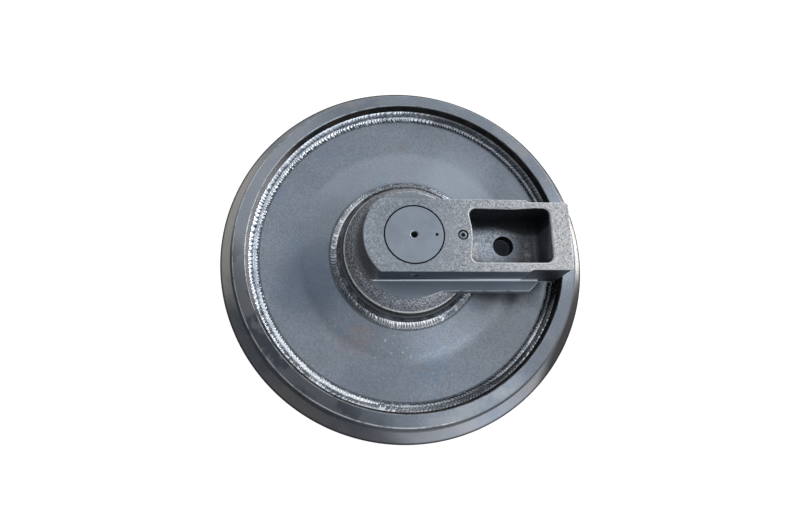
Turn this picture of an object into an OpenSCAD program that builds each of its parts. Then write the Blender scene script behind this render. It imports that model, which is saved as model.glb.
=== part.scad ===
// Front idler of a tracked excavator: a welded wheel that turns on a fixed shaft between two cast supports.
// The wheel's axis is Z, its middle plane is z = 0 and the arms of the supports point along +X.

/* [Part] */
// Which piece to draw

/* [Rim] */
// Diameter over the guide flange
flange_d = 560; // [540:1:600]
// Width of the guide flange at its crest
flange_w = 84; // [70:1:90]
// Slope of each flank of the guide flange, measured along the axis
flank_run = 4; // [2:0.5:8]
// Diameter of the two treads
tread_d = 522; // [500:1:534]
// Width of the rim from face to face
rim_w = 164; // [150:1:180]
// Bore of the rim
rim_bore_d = 474; // [450:1:490]
// Width of the machined face ring, across its radius
face_w = 19; // [12:0.5:22]
// How far the face ring falls from its inner to its outer edge
face_fall = 5; // [0:0.5:8]
// Height of the chamfer between the face ring and the tread
tread_chamfer = 7; // [3:0.5:10]
// Small chamfer of the rim's bore and of the flange's crest
rim_edge = 1; // [0.5:0.5:3]
// Fillet between the tread and the flank
root_fillet = 3; // [1:0.5:5]

/* [Side discs] */
// Thickness of each side disc
disc_t = 14; // [8:1:20]
// Height of the disc's flat outer face above the middle plane
disc_h = 58; // [45:1:65]
// Diameter of the crease where the dished middle begins
crease_d = 334; // [280:1:400]
// How far the dished middle stands out at the hub
dish = 4; // [0:0.5:10]

/* [Hub] */
// Outside diameter of the hub
hub_d = 212; // [196:1:230]
// Length of the hub
hub_l = 134; // [125:1:150]
// Diameter of the oil chamber in the middle of the hub
chamber_d = 112; // [100:1:130]
// Width of the oil chamber
chamber_w = 24; // [10:1:40]

/* [Welds] */
// Width of the rim weld on the disc
rim_weld_w = 15; // [8:0.5:20]
// Height of the rim weld on the rim's bore
rim_weld_h = 12; // [6:0.5:18]
// Width of the hub weld on the disc
hub_weld_w = 9; // [5:0.5:14]
// How far the top of the hub weld stays below the hub's end
hub_weld_gap = 0.6; // [0.2:0.1:2]

/* [Shaft] */
// Diameter of the shaft
shaft_d = 82; // [70:1:86]
// Length of the shaft, which is the width over both supports
shaft_l = 324; // [300:1:350]
// Chamfer of the shaft's ends and of the supports' bores
shaft_edge = 0.9; // [0.5:0.1:2]
// Diameter of the centre hole in each end
centre_d = 9; // [6:0.5:14]
// Depth of the centre hole in each end
centre_depth = 24; // [15:1:34]
// Diameter of the oil bore along the axis
oil_bore_d = 6; // [4:0.5:8]
// Diameter of the index hole in each end
index_d = 3.5; // [2:0.5:6]
// Depth of the index hole
index_depth = 6; // [3:1:10]
// Distance of the index hole from the axis
index_x = 31; // [15:1:33]
// Length of the oil plug in each end
oil_plug_l = 12; // [8:1:14]
// Width across the flats of the oil plug's socket
oil_plug_hex = 5; // [3:0.5:6]

/* [Bushes] */
// Wall of each bush
bush_wall = 7; // [4:0.5:9]
// Thickness of the bush's flange
bush_flange_t = 5; // [3:0.5:8]
// Outside diameter of the bush's flange
bush_flange_d = 108; // [104:1:110]

/* [Floating seals] */
// Diameter of the seal bores in the hub and in the supports
seal_bore_d = 149.2; // [140:0.2:156]
// Depth of each seal bore
seal_depth = 16; // [14:0.5:20]
// Thickness of the rubber torics
toric_d = 10; // [8:0.5:10]
// Inside diameter of the seal rings
ring_bore_d = 112; // [110:0.5:116]
// Thickness of the lip at the sealing face
lip_t = 5; // [3:0.5:6]
// Outside diameter of the lip
lip_d = 144; // [138:1:146]
// Length of each seal ring
ring_l = 13; // [10:0.5:14]

/* [Supports] */
// Width of the support's block
block_w = 104; // [90:1:120]
// Radius of the block's rounded end about the axis
block_end_r = 70; // [60:1:78]
// Depth of the block from the outer face to the ledges
block_h = 48.5; // [36:0.5:56]
// Distance from the axis to the arm's end
arm_reach = 221; // [200:1:232]
// Width of the narrow end of the arm
arm_w = 98; // [88:1:104]
// Where the narrow end of the arm begins
arm_neck_x = 158; // [120:1:165]
// Depth of the arm from the outer face to its back
arm_h = 77; // [68:0.5:78]
// Radius of the upright corners at the arm's end
arm_corner_r = 4; // [1:0.5:10]
// Width over the two guide ledges
ledge_w = 138; // [116:1:160]
// Thickness of the guide ledges
ledge_t = 16; // [8:0.5:22]
// Where the square part of the ledges ends
ledge_x = 171; // [150:1:180]
// Length of the slanted end of each ledge
ledge_slant = 13; // [4:1:16]
// Diameter of the machined pad around the axis
pad_d = 163; // [155:1:180]
// Diameter of the boss at its shoulder
boss_d = 192; // [180:1:200]
// Diameter of the boss at its back
boss_back_d = 201; // [186:1:210]
// Height of the shoulder's edge above the boss's back
boss_h = 17; // [10:0.5:22]

/* [Pocket] */
// Distance from the axis to the pocket's near wall
pocket_x = 79; // [76:0.5:90]
// Length of the pocket
pocket_l = 112.5; // [90:0.5:120]
// Width of the pocket
pocket_w = 77; // [60:0.5:82]
// Depth of the pocket
pocket_h = 56; // [40:0.5:60]
// Radius of the pocket's corners
pocket_r = 9.5; // [4:0.5:20]
// How far the pocket's near wall bows in around the shaft
pocket_bow = 4; // [1:0.5:6]
// Diameter of the yoke's bolt hole
bolt_d = 28; // [20:0.5:34]
// Distance from the axis to the bolt hole
bolt_x = 138; // [125:0.5:150]

/* [Pins, plugs and O-rings] */
// Diameter of the lock pins
lock_pin_d = 12; // [8:0.5:16]
// Length of the lock pins
lock_pin_l = 34; // [25:1:40]
// How deep the lock pins sit below the side wall
lock_pin_sink = 1.5; // [0.5:0.5:4]
// Distance from the outer face to the lock pins
lock_pin_depth = 24; // [16:0.5:32]
// Diameter of the face plugs
face_plug_d = 11; // [8:0.5:12]
// Length of the face plugs
face_plug_l = 14; // [8:1:24]
// How deep the face plugs sit below the outer face
face_plug_sink = 0.5; // [0.2:0.1:2]
// Distance from the axis to the face plugs
face_plug_x = 67.5; // [62:0.5:70]
// Width across the flats of the face plugs' sockets
face_plug_hex = 5.5; // [4:0.5:6]
// Depth of the plugs' sockets
socket_depth = 5; // [3:0.5:7]
// Thickness of the shaft's O-rings
o_ring_d = 3; // [2:0.2:5]
// Distance from the outer face to the O-rings
o_ring_depth = 64; // [50:1:80]

/* [Clearances] */
// Gap where two fixed pieces seat on each other
seat_gap = 0.02; // [0.01:0.01:0.1]
// Radial gap between the shaft and the bushes
running_gap = 0.05; // [0.02:0.01:0.1]
// Gap between each bush's flange and the nose of the support
thrust_gap = 0.3; // [0.2:0.1:1]
// Gap between the two faces of a floating seal
seal_gap = 0.1; // [0.05:0.05:0.3]
// Gap between the hub's ends and the bosses
hub_gap = 2; // [1:0.5:4]
// Play around a toric and an O-ring
rubber_gap = 0.1; // [0.05:0.05:0.3]
// Free depth behind a pin or a plug
bottom_gap = 0.5; // [0.2:0.1:2]

/* [Hidden] */
$fn = 96;
cut = 1;

paint = [0.42, 0.46, 0.50];
weld_paint = [0.50, 0.54, 0.58];
steel = [0.62, 0.63, 0.64];
bronze = [0.72, 0.52, 0.26];
seal_iron = [0.45, 0.45, 0.46];
rubber = [0.06, 0.06, 0.065];

// Heights above the middle plane, from the wheel outwards
hub_end = hub_l / 2;
seal_floor = hub_end - seal_depth;
boss_back = hub_end + hub_gap;
seal_plane = hub_end + hub_gap / 2;
nose_end = seal_floor + bush_flange_t + thrust_gap;
outer_face = shaft_l / 2;
ledge_top = outer_face - block_h;
arm_back = outer_face - arm_h;
shoulder = boss_back + boss_h;

shaft_r = shaft_d / 2;
bush_r = shaft_r + running_gap + bush_wall;
hub_r = hub_d / 2;
rim_bore_r = rim_bore_d / 2;
tread_r = tread_d / 2;
flange_r = flange_d / 2;
seal_bore_r = seal_bore_d / 2;
toric_r = toric_d / 2;
toric_at = seal_bore_r - rubber_gap - toric_r;
ring_body_r = toric_at - toric_r - rubber_gap;
ring_lift = seal_gap / 2;
o_ring_r = o_ring_d / 2;
o_ring_at = shaft_r - rubber_gap - o_ring_r;
oil_plug_d = centre_d - 2 * seat_gap;
plug_fit = 2 * seat_gap;

// Height of the disc's outer face at a radius
function disc_face(r) = disc_h + dish * max(0, crease_d / 2 - r) / (crease_d / 2 - hub_r);
// A profile of [radius, height] points turned upside down, in reverse order
function mirrored(points) = [for (i = [len(points) - 1 : -1 : 0]) [points[i][0], -points[i][1]]];

// The bottom pieces are the top ones turned over about the arm's line
module side(top) {
    if (top) children();
    else rotate([180, 0, 0]) children();
}

// Rim

module rim() {
    flange_h = flange_w / 2;
    half = [
        [flange_r, flange_h - rim_edge],
        [flange_r - rim_edge, flange_h],
        [tread_r + root_fillet, flange_h + flank_run],
        [tread_r, flange_h + flank_run + root_fillet],
        [tread_r, rim_w / 2 - face_fall - tread_chamfer],
        [rim_bore_r + rim_edge + face_w, rim_w / 2 - face_fall],
        [rim_bore_r + rim_edge, rim_w / 2],
        [rim_bore_r, rim_w / 2 - rim_edge]
    ];
    color(paint) rotate_extrude() polygon(concat(half, mirrored(half)));
}

// Side discs

module disc(top) {
    inner = hub_r + seat_gap;
    outer = rim_bore_r - seat_gap;
    color(paint) side(top) rotate_extrude() polygon([
        [inner, disc_face(inner)],
        [crease_d / 2, disc_h],
        [outer, disc_h],
        [outer, disc_h - disc_t],
        [crease_d / 2, disc_h - disc_t],
        [inner, disc_face(inner) - disc_t]
    ]);
}
module disc_top() { disc(true); }
module disc_bottom() { disc(false); }

// Welds: a fillet with a rounded face, from its toe on the disc to its toe on the wall

module rim_weld(top) {
    wall = rim_bore_r - seat_gap;
    base = disc_h + seat_gap;
    color(weld_paint) side(top) rotate_extrude() polygon(concat(
        [[wall, base]],
        [for (a = [0 : 15 : 90]) [
            wall - rim_weld_w * (0.55 * sin(a) + 0.45 * a / 90),
            base + rim_weld_h * (0.55 * cos(a) + 0.45 * (1 - a / 90))]]
    ));
}
module rim_weld_top() { rim_weld(true); }
module rim_weld_bottom() { rim_weld(false); }

module hub_weld(top) {
    wall = hub_r + seat_gap;
    toe = wall + hub_weld_w;
    peak = hub_end - hub_weld_gap;
    base = disc_face(wall) + seat_gap;
    color(weld_paint) side(top) rotate_extrude() polygon(concat(
        [[wall, base]],
        [for (a = [90 : -15 : 0])
            let (r = wall + hub_weld_w * (0.55 * sin(a) + 0.45 * a / 90), foot = disc_face(r) + seat_gap)
            [r, foot + (peak - foot) * (0.55 * cos(a) + 0.45 * (1 - a / 90))]]
    ));
}
module hub_weld_top() { hub_weld(true); }
module hub_weld_bottom() { hub_weld(false); }

// Hub: a thick tube with an oil chamber in the middle and a seal bore in each end

module hub() {
    seat_r = bush_r + seat_gap;
    half = [
        [hub_r, hub_end - rim_edge],
        [hub_r - rim_edge, hub_end],
        [seal_bore_r, hub_end],
        [seal_bore_r, seal_floor],
        [seat_r, seal_floor],
        [seat_r, chamber_w / 2],
        [chamber_d / 2, chamber_w / 2]
    ];
    color(paint) rotate_extrude() polygon(concat(half, mirrored(half)));
}

// Flanged bushes: the flange lies on the floor of the hub's seal bore

module bush(top) {
    bore_r = shaft_r + running_gap;
    color(bronze) side(top) rotate_extrude() polygon([
        [bore_r, chamber_w / 2],
        [bush_r, chamber_w / 2],
        [bush_r, seal_floor + seat_gap],
        [bush_flange_d / 2, seal_floor + seat_gap],
        [bush_flange_d / 2, seal_floor + bush_flange_t],
        [bore_r, seal_floor + bush_flange_t]
    ]);
}
module bush_top() { bush(true); }
module bush_bottom() { bush(false); }

// Floating seals: two equal rings face to face, each carried by a rubber toric

module seal_ring() {
    color(seal_iron) rotate_extrude() polygon([
        [ring_bore_d / 2, ring_lift],
        [lip_d / 2, ring_lift],
        [lip_d / 2, ring_lift + lip_t],
        [ring_body_r, ring_lift + lip_t],
        [ring_body_r, ring_lift + ring_l],
        [ring_bore_d / 2, ring_lift + ring_l]
    ]);
}
module seal_toric() {
    color(rubber) translate([0, 0, ring_lift + lip_t + rubber_gap + toric_r])
        rotate_extrude() translate([toric_at, 0]) circle(r = toric_r);
}
module turning(top) { side(top) translate([0, 0, seal_plane]) mirror([0, 0, 1]) children(); }
module fixed(top) { side(top) translate([0, 0, seal_plane]) children(); }

module turning_ring_top() { turning(true) seal_ring(); }
module turning_ring_bottom() { turning(false) seal_ring(); }
module turning_toric_top() { turning(true) seal_toric(); }
module turning_toric_bottom() { turning(false) seal_toric(); }
module fixed_ring_top() { fixed(true) seal_ring(); }
module fixed_ring_bottom() { fixed(false) seal_ring(); }
module fixed_toric_top() { fixed(true) seal_toric(); }
module fixed_toric_bottom() { fixed(false) seal_toric(); }

// Shaft

lock_pin_z = outer_face - lock_pin_depth;
lock_pin_out = -block_w / 2 + lock_pin_sink;

// A round bar along the lock pin's line, from the side wall inwards
module lock_bar(r, from, to) {
    translate([0, from, lock_pin_z]) rotate([-90, 0, 0]) cylinder(r = r, h = to - from);
}

module shaft_end_cuts() {
    // centre hole, index hole, lock pin hole and O-ring groove
    translate([0, 0, outer_face - centre_depth]) cylinder(d = centre_d, h = centre_depth + cut);
    translate([index_x, 0, outer_face - index_depth]) cylinder(d = index_d, h = index_depth + cut);
    lock_bar(lock_pin_d / 2 + seat_gap, -shaft_r - cut, lock_pin_out + lock_pin_l + bottom_gap);
    translate([0, 0, outer_face - o_ring_depth - o_ring_d]) difference() {
        cylinder(r = shaft_r + cut, h = 2 * o_ring_d);
        translate([0, 0, -cut]) cylinder(r = o_ring_at - o_ring_r - rubber_gap, h = 2 * o_ring_d + 2 * cut);
    }
}

module shaft() {
    color(steel) difference() {
        rotate_extrude() polygon([
            [0, -outer_face],
            [shaft_r - shaft_edge, -outer_face],
            [shaft_r, -outer_face + shaft_edge],
            [shaft_r, outer_face - shaft_edge],
            [shaft_r - shaft_edge, outer_face],
            [0, outer_face]
        ]);
        side(true) shaft_end_cuts();
        side(false) shaft_end_cuts();
        // oil bore along the axis and its way out into the chamber
        cylinder(d = oil_bore_d, h = shaft_l - 2 * centre_depth + cut, center = true);
        rotate([0, 90, 0]) cylinder(d = oil_bore_d, h = shaft_r + cut);
    }
}

module o_ring(top) {
    color(rubber) side(top) translate([0, 0, outer_face - o_ring_depth])
        rotate_extrude() translate([o_ring_at, 0]) circle(r = o_ring_r);
}
module o_ring_top() { o_ring(true); }
module o_ring_bottom() { o_ring(false); }

// A plug with a hexagon socket, its outer end at height 0
module socket_plug(d, length, hex) {
    difference() {
        translate([0, 0, -length]) cylinder(d = d, h = length);
        translate([0, 0, -socket_depth]) cylinder(r = hex / sqrt(3), h = socket_depth + cut, $fn = 6);
    }
}

module oil_plug(top) {
    color(steel) side(top) translate([0, 0, outer_face - centre_depth + seat_gap + oil_plug_l])
        socket_plug(oil_plug_d, oil_plug_l, oil_plug_hex);
}
module oil_plug_top() { oil_plug(true); }
module oil_plug_bottom() { oil_plug(false); }

// Supports

module rounded_box(x0, length, width, r) {
    translate([x0 + r, -width / 2]) square([length - 2 * r, width]);
    translate([x0, -width / 2 + r]) square([length, width - 2 * r]);
    for (x = [x0 + r, x0 + length - r], y = [-1, 1])
        translate([x, y * (width / 2 - r)]) circle(r = r);
}

// Block around the shaft's end, rounded about the axis
module block_outline() {
    intersection() {
        union() {
            circle(r = block_end_r);
            translate([0, -block_w / 2]) square([arm_neck_x, block_w]);
        }
        translate([-block_end_r, -block_w / 2]) square([block_end_r + arm_neck_x, block_w]);
    }
}

// Ledge plate: the pad around the axis and the two guide ledges with slanted ends
module ledge_outline() {
    circle(d = pad_d);
    polygon([
        [0, -ledge_w / 2],
        [ledge_x, -ledge_w / 2],
        [ledge_x + ledge_slant, -ledge_w / 2 + ledge_slant],
        [ledge_x + ledge_slant, ledge_w / 2 - ledge_slant],
        [ledge_x, ledge_w / 2],
        [0, ledge_w / 2]
    ]);
}

module support(top) {
    bore_r = shaft_r + seat_gap;
    color(paint) side(top) difference() {
        union() {
            translate([0, 0, ledge_top]) linear_extrude(block_h) block_outline();
            translate([0, 0, ledge_top - ledge_t]) linear_extrude(ledge_t) ledge_outline();
            // arm from the axis to its end
            translate([0, 0, arm_back]) linear_extrude(arm_h) difference() {
                rounded_box(0, arm_reach, arm_w, arm_corner_r);
                circle(d = pad_d - 2 * cut);
            }
            // boss with its sloping shoulder, and the nose that reaches in to the bush
            rotate_extrude() polygon([
                [0, nose_end],
                [bush_flange_d / 2, nose_end],
                [bush_flange_d / 2, boss_back],
                [boss_back_d / 2, boss_back],
                [boss_d / 2, shoulder],
                [pad_d / 2, ledge_top],
                [0, ledge_top]
            ]);
        }
        // shaft bore with a chamfered mouth
        translate([0, 0, nose_end - cut]) cylinder(r = bore_r, h = outer_face);
        translate([0, 0, outer_face - shaft_edge])
            cylinder(r1 = bore_r, r2 = bore_r + shaft_edge + cut, h = shaft_edge + cut);
        // seal bore around the nose
        translate([0, 0, boss_back - cut]) difference() {
            cylinder(r = seal_bore_r, h = seal_depth + cut);
            translate([0, 0, -cut]) cylinder(d = bush_flange_d, h = seal_depth + 3 * cut);
        }
        // pocket and bolt hole
        translate([0, 0, outer_face - pocket_h]) linear_extrude(pocket_h + cut) difference() {
            rounded_box(pocket_x, pocket_l, pocket_w, pocket_r);
            circle(r = pocket_x + pocket_bow);
        }
        translate([bolt_x, 0, arm_back - cut]) cylinder(d = bolt_d, h = arm_h);
        // lock pin hole and face plug hole
        lock_bar(lock_pin_d / 2 + seat_gap, -block_w / 2 - cut, 0);
        translate([face_plug_x, 0, outer_face - face_plug_sink - face_plug_l - bottom_gap])
            cylinder(d = face_plug_d + plug_fit, h = face_plug_l + bottom_gap + face_plug_sink + cut);
    }
}
module support_top() { support(true); }
module support_bottom() { support(false); }

module lock_pin(top) {
    color(steel) side(top) lock_bar(lock_pin_d / 2, lock_pin_out, lock_pin_out + lock_pin_l);
}
module lock_pin_top() { lock_pin(true); }
module lock_pin_bottom() { lock_pin(false); }

module face_plug(top) {
    color(steel) side(top) translate([face_plug_x, 0, outer_face - face_plug_sink])
        socket_plug(face_plug_d, face_plug_l, face_plug_hex);
}
module face_plug_top() { face_plug(true); }
module face_plug_bottom() { face_plug(false); }

rim();
disc_top();
disc_bottom();
rim_weld_top();
rim_weld_bottom();
hub();
hub_weld_top();
hub_weld_bottom();
bush_top();
bush_bottom();
turning_ring_top();
turning_ring_bottom();
turning_toric_top();
turning_toric_bottom();
shaft();
support_top();
support_bottom();
fixed_ring_top();
fixed_ring_bottom();
fixed_toric_top();
fixed_toric_bottom();
o_ring_top();
o_ring_bottom();
lock_pin_top();
lock_pin_bottom();
face_plug_top();
face_plug_bottom();
oil_plug_top();
oil_plug_bottom();
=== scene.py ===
# Front idler of a tracked excavator, lying on the outer face of its lower support.
# Sizes of pieces are in millimetres and become metres where a mesh is made.
# Places in the materials, on the stage and of the camera are in metres.
import bpy
import bmesh
import math
from mathutils import Matrix, Vector, noise


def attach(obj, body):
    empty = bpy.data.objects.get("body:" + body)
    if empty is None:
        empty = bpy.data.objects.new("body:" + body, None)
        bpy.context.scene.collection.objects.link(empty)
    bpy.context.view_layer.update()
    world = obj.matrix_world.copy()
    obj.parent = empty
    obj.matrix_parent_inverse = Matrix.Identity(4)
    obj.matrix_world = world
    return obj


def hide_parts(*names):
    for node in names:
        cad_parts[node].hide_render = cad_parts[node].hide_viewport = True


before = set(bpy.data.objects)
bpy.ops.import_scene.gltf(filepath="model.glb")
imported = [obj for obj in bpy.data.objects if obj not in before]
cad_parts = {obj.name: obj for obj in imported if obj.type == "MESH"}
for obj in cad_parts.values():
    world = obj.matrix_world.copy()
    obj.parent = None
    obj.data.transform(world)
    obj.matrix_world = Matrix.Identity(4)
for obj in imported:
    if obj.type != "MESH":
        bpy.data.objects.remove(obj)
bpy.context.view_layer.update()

MM = 0.001
MERGE = 0.002 * MM

# Sizes of the wheel
FLANGE_R, FLANGE_HALF, FLANK_END = 280.0, 42.0, 46.0
TREAD_R, TREAD_END = 261.0, 70.0
FACE_OUT_R, FACE_OUT_Z = 257.0, 77.0
RIM_HALF, RIM_BORE_R = 82.0, 237.0
DISC_Z, DISC_T, DISH = 58.0, 14.0, 4.0
CREASE_R, CREASE_ROUND = 167.0, 260.0
HUB_R, HUB_END = 106.0, 67.0

# Sizes of the welds, the rows of faces over a bead, and the degrees over which two runs part
RIM_WELD_TOE, HUB_WELD_TOE = 222.0, 115.0
WELD_LIFT = 0.02
WELD_ROWS = 16
RUN_FADE = 8.0

# Sizes of the shaft
SHAFT_R, FACE_Z = 41.0, 162.0
OIL_BORE_R, OIL_PLUG_DROP = 4.5, 12.0
GROOVE_R, GROOVE_HALF, GROOVE_DROP = 37.9, 3.0, 64.0
INDEX_X, INDEX_R, INDEX_DEPTH = 31.0, 1.75, 6.0

# Sizes of the supports, with the draft of the pocket as a share of its mouth
LEDGE_Z, LEDGE_T, LEDGE_HALF, LEDGE_END, LEDGE_CORNER = 113.5, 16.0, 69.0, 184.0, 171.0
BLOCK_HALF, BLOCK_END_R = 52.0, 70.0
ARM_END, ARM_HALF, ARM_BACK, NECK = 221.0, 49.0, 85.0, 158.0
PAD_R, BOSS_R, BOSS_BACK_R, BOSS_BACK, SHOULDER = 81.5, 96.0, 100.5, 69.0, 86.0
SEAL_SEAT_R, SEAL_SEAT_Z, COLLAR_R, COLLAR_END = 74.6, 85.0, 54.0, 56.3
POCKET_X, POCKET_HALF_X, POCKET_HALF_Y, POCKET_FLOOR = 135.0, 56.0, 38.5, 106.0
POCKET_DRAFT_X, POCKET_DRAFT_Y, MOUTH_ROUND, MOUTH_BEYOND = 0.972, 0.962, 3.0, 4.0
BOLT_X, BOLT_R = 138.0, 14.0
PLUG_X, PLUG_R, PIN_R, PIN_Z = 67.5, 5.5, 6.0, 138.0


# Helpers for modelling

def deselect():
    if bpy.context.object and bpy.context.object.mode != "OBJECT":
        bpy.ops.object.mode_set(mode="OBJECT")
    bpy.ops.object.select_all(action="DESELECT")


def pick(piece):
    deselect()
    piece.select_set(True)
    bpy.context.view_layer.objects.active = piece


def open_mesh(kind):
    """Edit mode of the active piece, with all its edges or faces selected."""
    bpy.ops.object.mode_set(mode="EDIT")
    bpy.ops.mesh.select_mode(type=kind)
    bpy.ops.mesh.select_all(action="SELECT")


def merge_mesh():
    """Merge doubles in the open mesh and point its faces outwards."""
    bpy.ops.mesh.select_all(action="SELECT")
    bpy.ops.mesh.remove_doubles(threshold=MERGE)
    bpy.ops.mesh.normals_make_consistent(inside=False)


def fix_place():
    """Put the picked piece's place and turn into its mesh."""
    bpy.ops.object.transform_apply(location=True, rotation=True, scale=True)


def soften(points, radii, steps=4, closed=True):
    """Round the corners of a flat outline: each corner is cut back and gets an arc of its own radius."""
    result = []
    count = len(points)
    for i, corner in enumerate(points):
        radius = radii[i] if isinstance(radii, (list, tuple)) else radii
        if radius <= 0 or (not closed and i in (0, count - 1)):
            result.append(tuple(corner))
            continue
        here = Vector(corner)
        back = Vector(points[i - 1]) - here
        ahead = Vector(points[(i + 1) % count]) - here
        turn = back.angle(ahead)
        reach = min(radius / math.tan(turn / 2), 0.49 * back.length, 0.49 * ahead.length)
        start, end = here + back.normalized() * reach, here + ahead.normalized() * reach
        middle = here + (back.normalized() + ahead.normalized()).normalized() * (reach / math.cos(turn / 2))
        first, last = start - middle, end - middle
        sweep = first.angle_signed(last)
        for k in range(steps + 1):
            swung = first.copy()
            swung.rotate(Matrix.Rotation(-sweep * k / steps, 2))
            result.append(tuple(middle + swung))
    return result


def arc(radius, start, end, steps):
    """Points on a circle about the wheel's axis, between two angles in degrees."""
    angles = [math.radians(start + (end - start) * i / steps) for i in range(steps + 1)]
    return [(radius * math.cos(a), radius * math.sin(a)) for a in angles]


def quarter(radius, steps):
    """Steps along a quarter circle: how far each goes up and how far it goes in."""
    for k in range(steps):
        a0, a1 = math.pi / 2 * k / steps, math.pi / 2 * (k + 1) / steps
        yield radius * (math.sin(a1) - math.sin(a0)), radius * (math.cos(a0) - math.cos(a1))


def turned(name, rings, steps=256, capped=False, centre=(0, 0)):
    """A lathe shape: a circle is extruded from ring to ring of [radius, height] and closed."""
    deselect()
    place = (centre[0] * MM, centre[1] * MM, 0)
    path = list(rings) if capped else list(rings) + [rings[0]]
    bpy.ops.mesh.primitive_circle_add(vertices=steps, radius=path[0][0] * MM,
                                      location=(place[0], place[1], path[0][1] * MM))
    piece = bpy.context.object
    piece.name = name
    fix_place()
    open_mesh("EDGE")
    if capped:
        bpy.ops.mesh.edge_face_add()
        bpy.ops.mesh.select_mode(type="EDGE")
    for (r0, z0), (r1, z1) in zip(path, path[1:]):
        bpy.ops.mesh.extrude_edges_move(TRANSFORM_OT_translate={"value": (0, 0, (z1 - z0) * MM)})
        bpy.ops.transform.resize(value=(r1 / r0, r1 / r0, 1), center_override=place)
    if capped:
        bpy.ops.mesh.edge_face_add()
    merge_mesh()
    bpy.ops.object.mode_set(mode="OBJECT")
    return piece


def flat_face(name, outline, z):
    """A face with a flat outline at one height, left open in edit mode to be pulled up."""
    deselect()
    bpy.ops.mesh.primitive_circle_add(vertices=len(outline), radius=1, fill_type="NGON")
    piece = bpy.context.object
    piece.name = name
    for vertex, (x, y) in zip(piece.data.vertices, outline):
        vertex.co = (x * MM, y * MM, z * MM)
    open_mesh("FACE")
    return piece


def slab(name, outline, low, high, top_round=0, bottom_round=0, steps=4):
    """A plate with a flat outline between two heights, its upper and lower edges rounded by insets."""
    base = low + bottom_round
    piece = flat_face(name, outline, base)
    bpy.ops.mesh.extrude_region_move(
        TRANSFORM_OT_translate={"value": (0, 0, (high - top_round - base) * MM)})
    bpy.ops.mesh.select_all(action="SELECT")
    bpy.ops.mesh.normals_make_consistent(inside=False)
    pick_faces(piece, lambda c, n: n.z > 0.9)
    round_edge(top_round, steps)
    pick_faces(piece, lambda c, n: n.z < -0.9)
    round_edge(bottom_round, steps)
    bpy.ops.object.mode_set(mode="OBJECT")
    return piece


def footed(name, outline, low, foot, high, top_round, reach, steps=6):
    """A block whose walls run out into a hollow foot.

    For a point of the outline, reach gives the foot's two steps out and its rise.
    """
    count = len(outline)
    rings = []
    for k in range(steps + 1):
        a = math.pi / 2 * k / steps
        ring = []
        for x, y in outline:
            across, along, rise = reach(x, y)
            out = 1 - math.sin(a)
            ring.append((x + across * out, y + along * out, foot + rise * (1 - math.cos(a))))
        rings.append(ring)
    piece = flat_face(name, [point[:2] for point in rings[0]], low)
    last = rings[0]
    for ring in rings + [[(x, y, high - top_round) for x, y in outline]]:
        bpy.ops.mesh.extrude_region_move(TRANSFORM_OT_translate={"value": (0, 0, 0)})
        shape = bmesh.from_edit_mesh(piece.data)
        for vertex in (v for v in shape.verts if v.select):
            here = Vector((vertex.co.x / MM, vertex.co.y / MM))
            i = min(range(count), key=lambda n: (here - Vector(last[n][:2])).length_squared)
            vertex.co = Vector(ring[i]) * MM
        bmesh.update_edit_mesh(piece.data)
        last = ring
    merge_mesh()
    pick_faces(piece, at_height((high - top_round) * MM))
    round_edge(top_round, 4)
    bpy.ops.object.mode_set(mode="OBJECT")
    return piece


def round_edge(radius, steps):
    """Insets of the selected cap that follow a quarter circle."""
    if radius:
        for up, inward in quarter(radius, steps):
            bpy.ops.mesh.inset(thickness=inward * MM, depth=up * MM, use_even_offset=True)


def pick_faces(piece, wanted):
    """Select the faces whose centre and normal are wanted, in edit mode."""
    shape = bmesh.from_edit_mesh(piece.data)
    bpy.ops.mesh.select_all(action="DESELECT")
    for face in shape.faces:
        if wanted(face.calc_center_median(), face.normal):
            face.select_set(True)
    bmesh.update_edit_mesh(piece.data)


def at_height(z):
    """A test for faces that look up at one height."""
    return lambda centre, normal: normal.z > 0.9 and abs(centre.z - z) < 1e-6


def carve(piece, tool, operation="DIFFERENCE"):
    """Join a tool to a piece or cut it out, and throw the tool away."""
    pick(piece)
    bpy.ops.object.modifier_add(type="BOOLEAN")
    cut = piece.modifiers[-1]
    cut.operation, cut.object, cut.solver = operation, tool, "EXACT"
    bpy.ops.object.modifier_apply(modifier=cut.name)
    bpy.data.objects.remove(tool)


def drill(name, bore, low, top, chamfer, mouth, steps, centre=(0, 0), flare=2.0):
    """A cutter for a round hole: its chamfer opens to the mouth's radius at the top and flares beyond it."""
    rings = [(bore, low), (bore, top - chamfer), (mouth, top), (mouth + flare, top + 2)]
    return turned(name, rings, steps=steps, capped=True, centre=centre)


def smooth(piece, angle=35):
    """Smooth shading that keeps sharp corners and flat faces."""
    pick(piece)
    bpy.ops.object.shade_smooth_by_angle(angle=math.radians(angle))
    bpy.ops.object.modifier_add(type="WEIGHTED_NORMAL")
    piece.modifiers[-1].keep_sharp = True
    bpy.ops.object.modifier_apply(modifier=piece.modifiers[-1].name)


def turned_over(piece, name):
    """A copy with its own mesh, turned over about the arm's line, for the lower side."""
    pick(piece)
    bpy.ops.object.duplicate()
    copy = bpy.context.object
    copy.name = name
    copy.rotation_euler = (math.pi, 0, 0)
    fix_place()
    return copy


def dress(piece, finish):
    piece.data.materials.clear()
    piece.data.materials.append(finish)


def settle(piece, node, body, finish):
    """Give a finished piece its material, the node that it stands for and the body that it rides on."""
    dress(piece, finish)
    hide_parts(node)
    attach(piece, body)


def settle_pair(piece, node, body, finish):
    """Settle a piece of the upper side and its copy on the lower side."""
    settle(piece, node + "_top", body, finish)
    lower = turned_over(piece, piece.name.replace("_top", "_bottom"))
    settle(lower, node + "_bottom", body, finish)


# Helpers for materials

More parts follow.
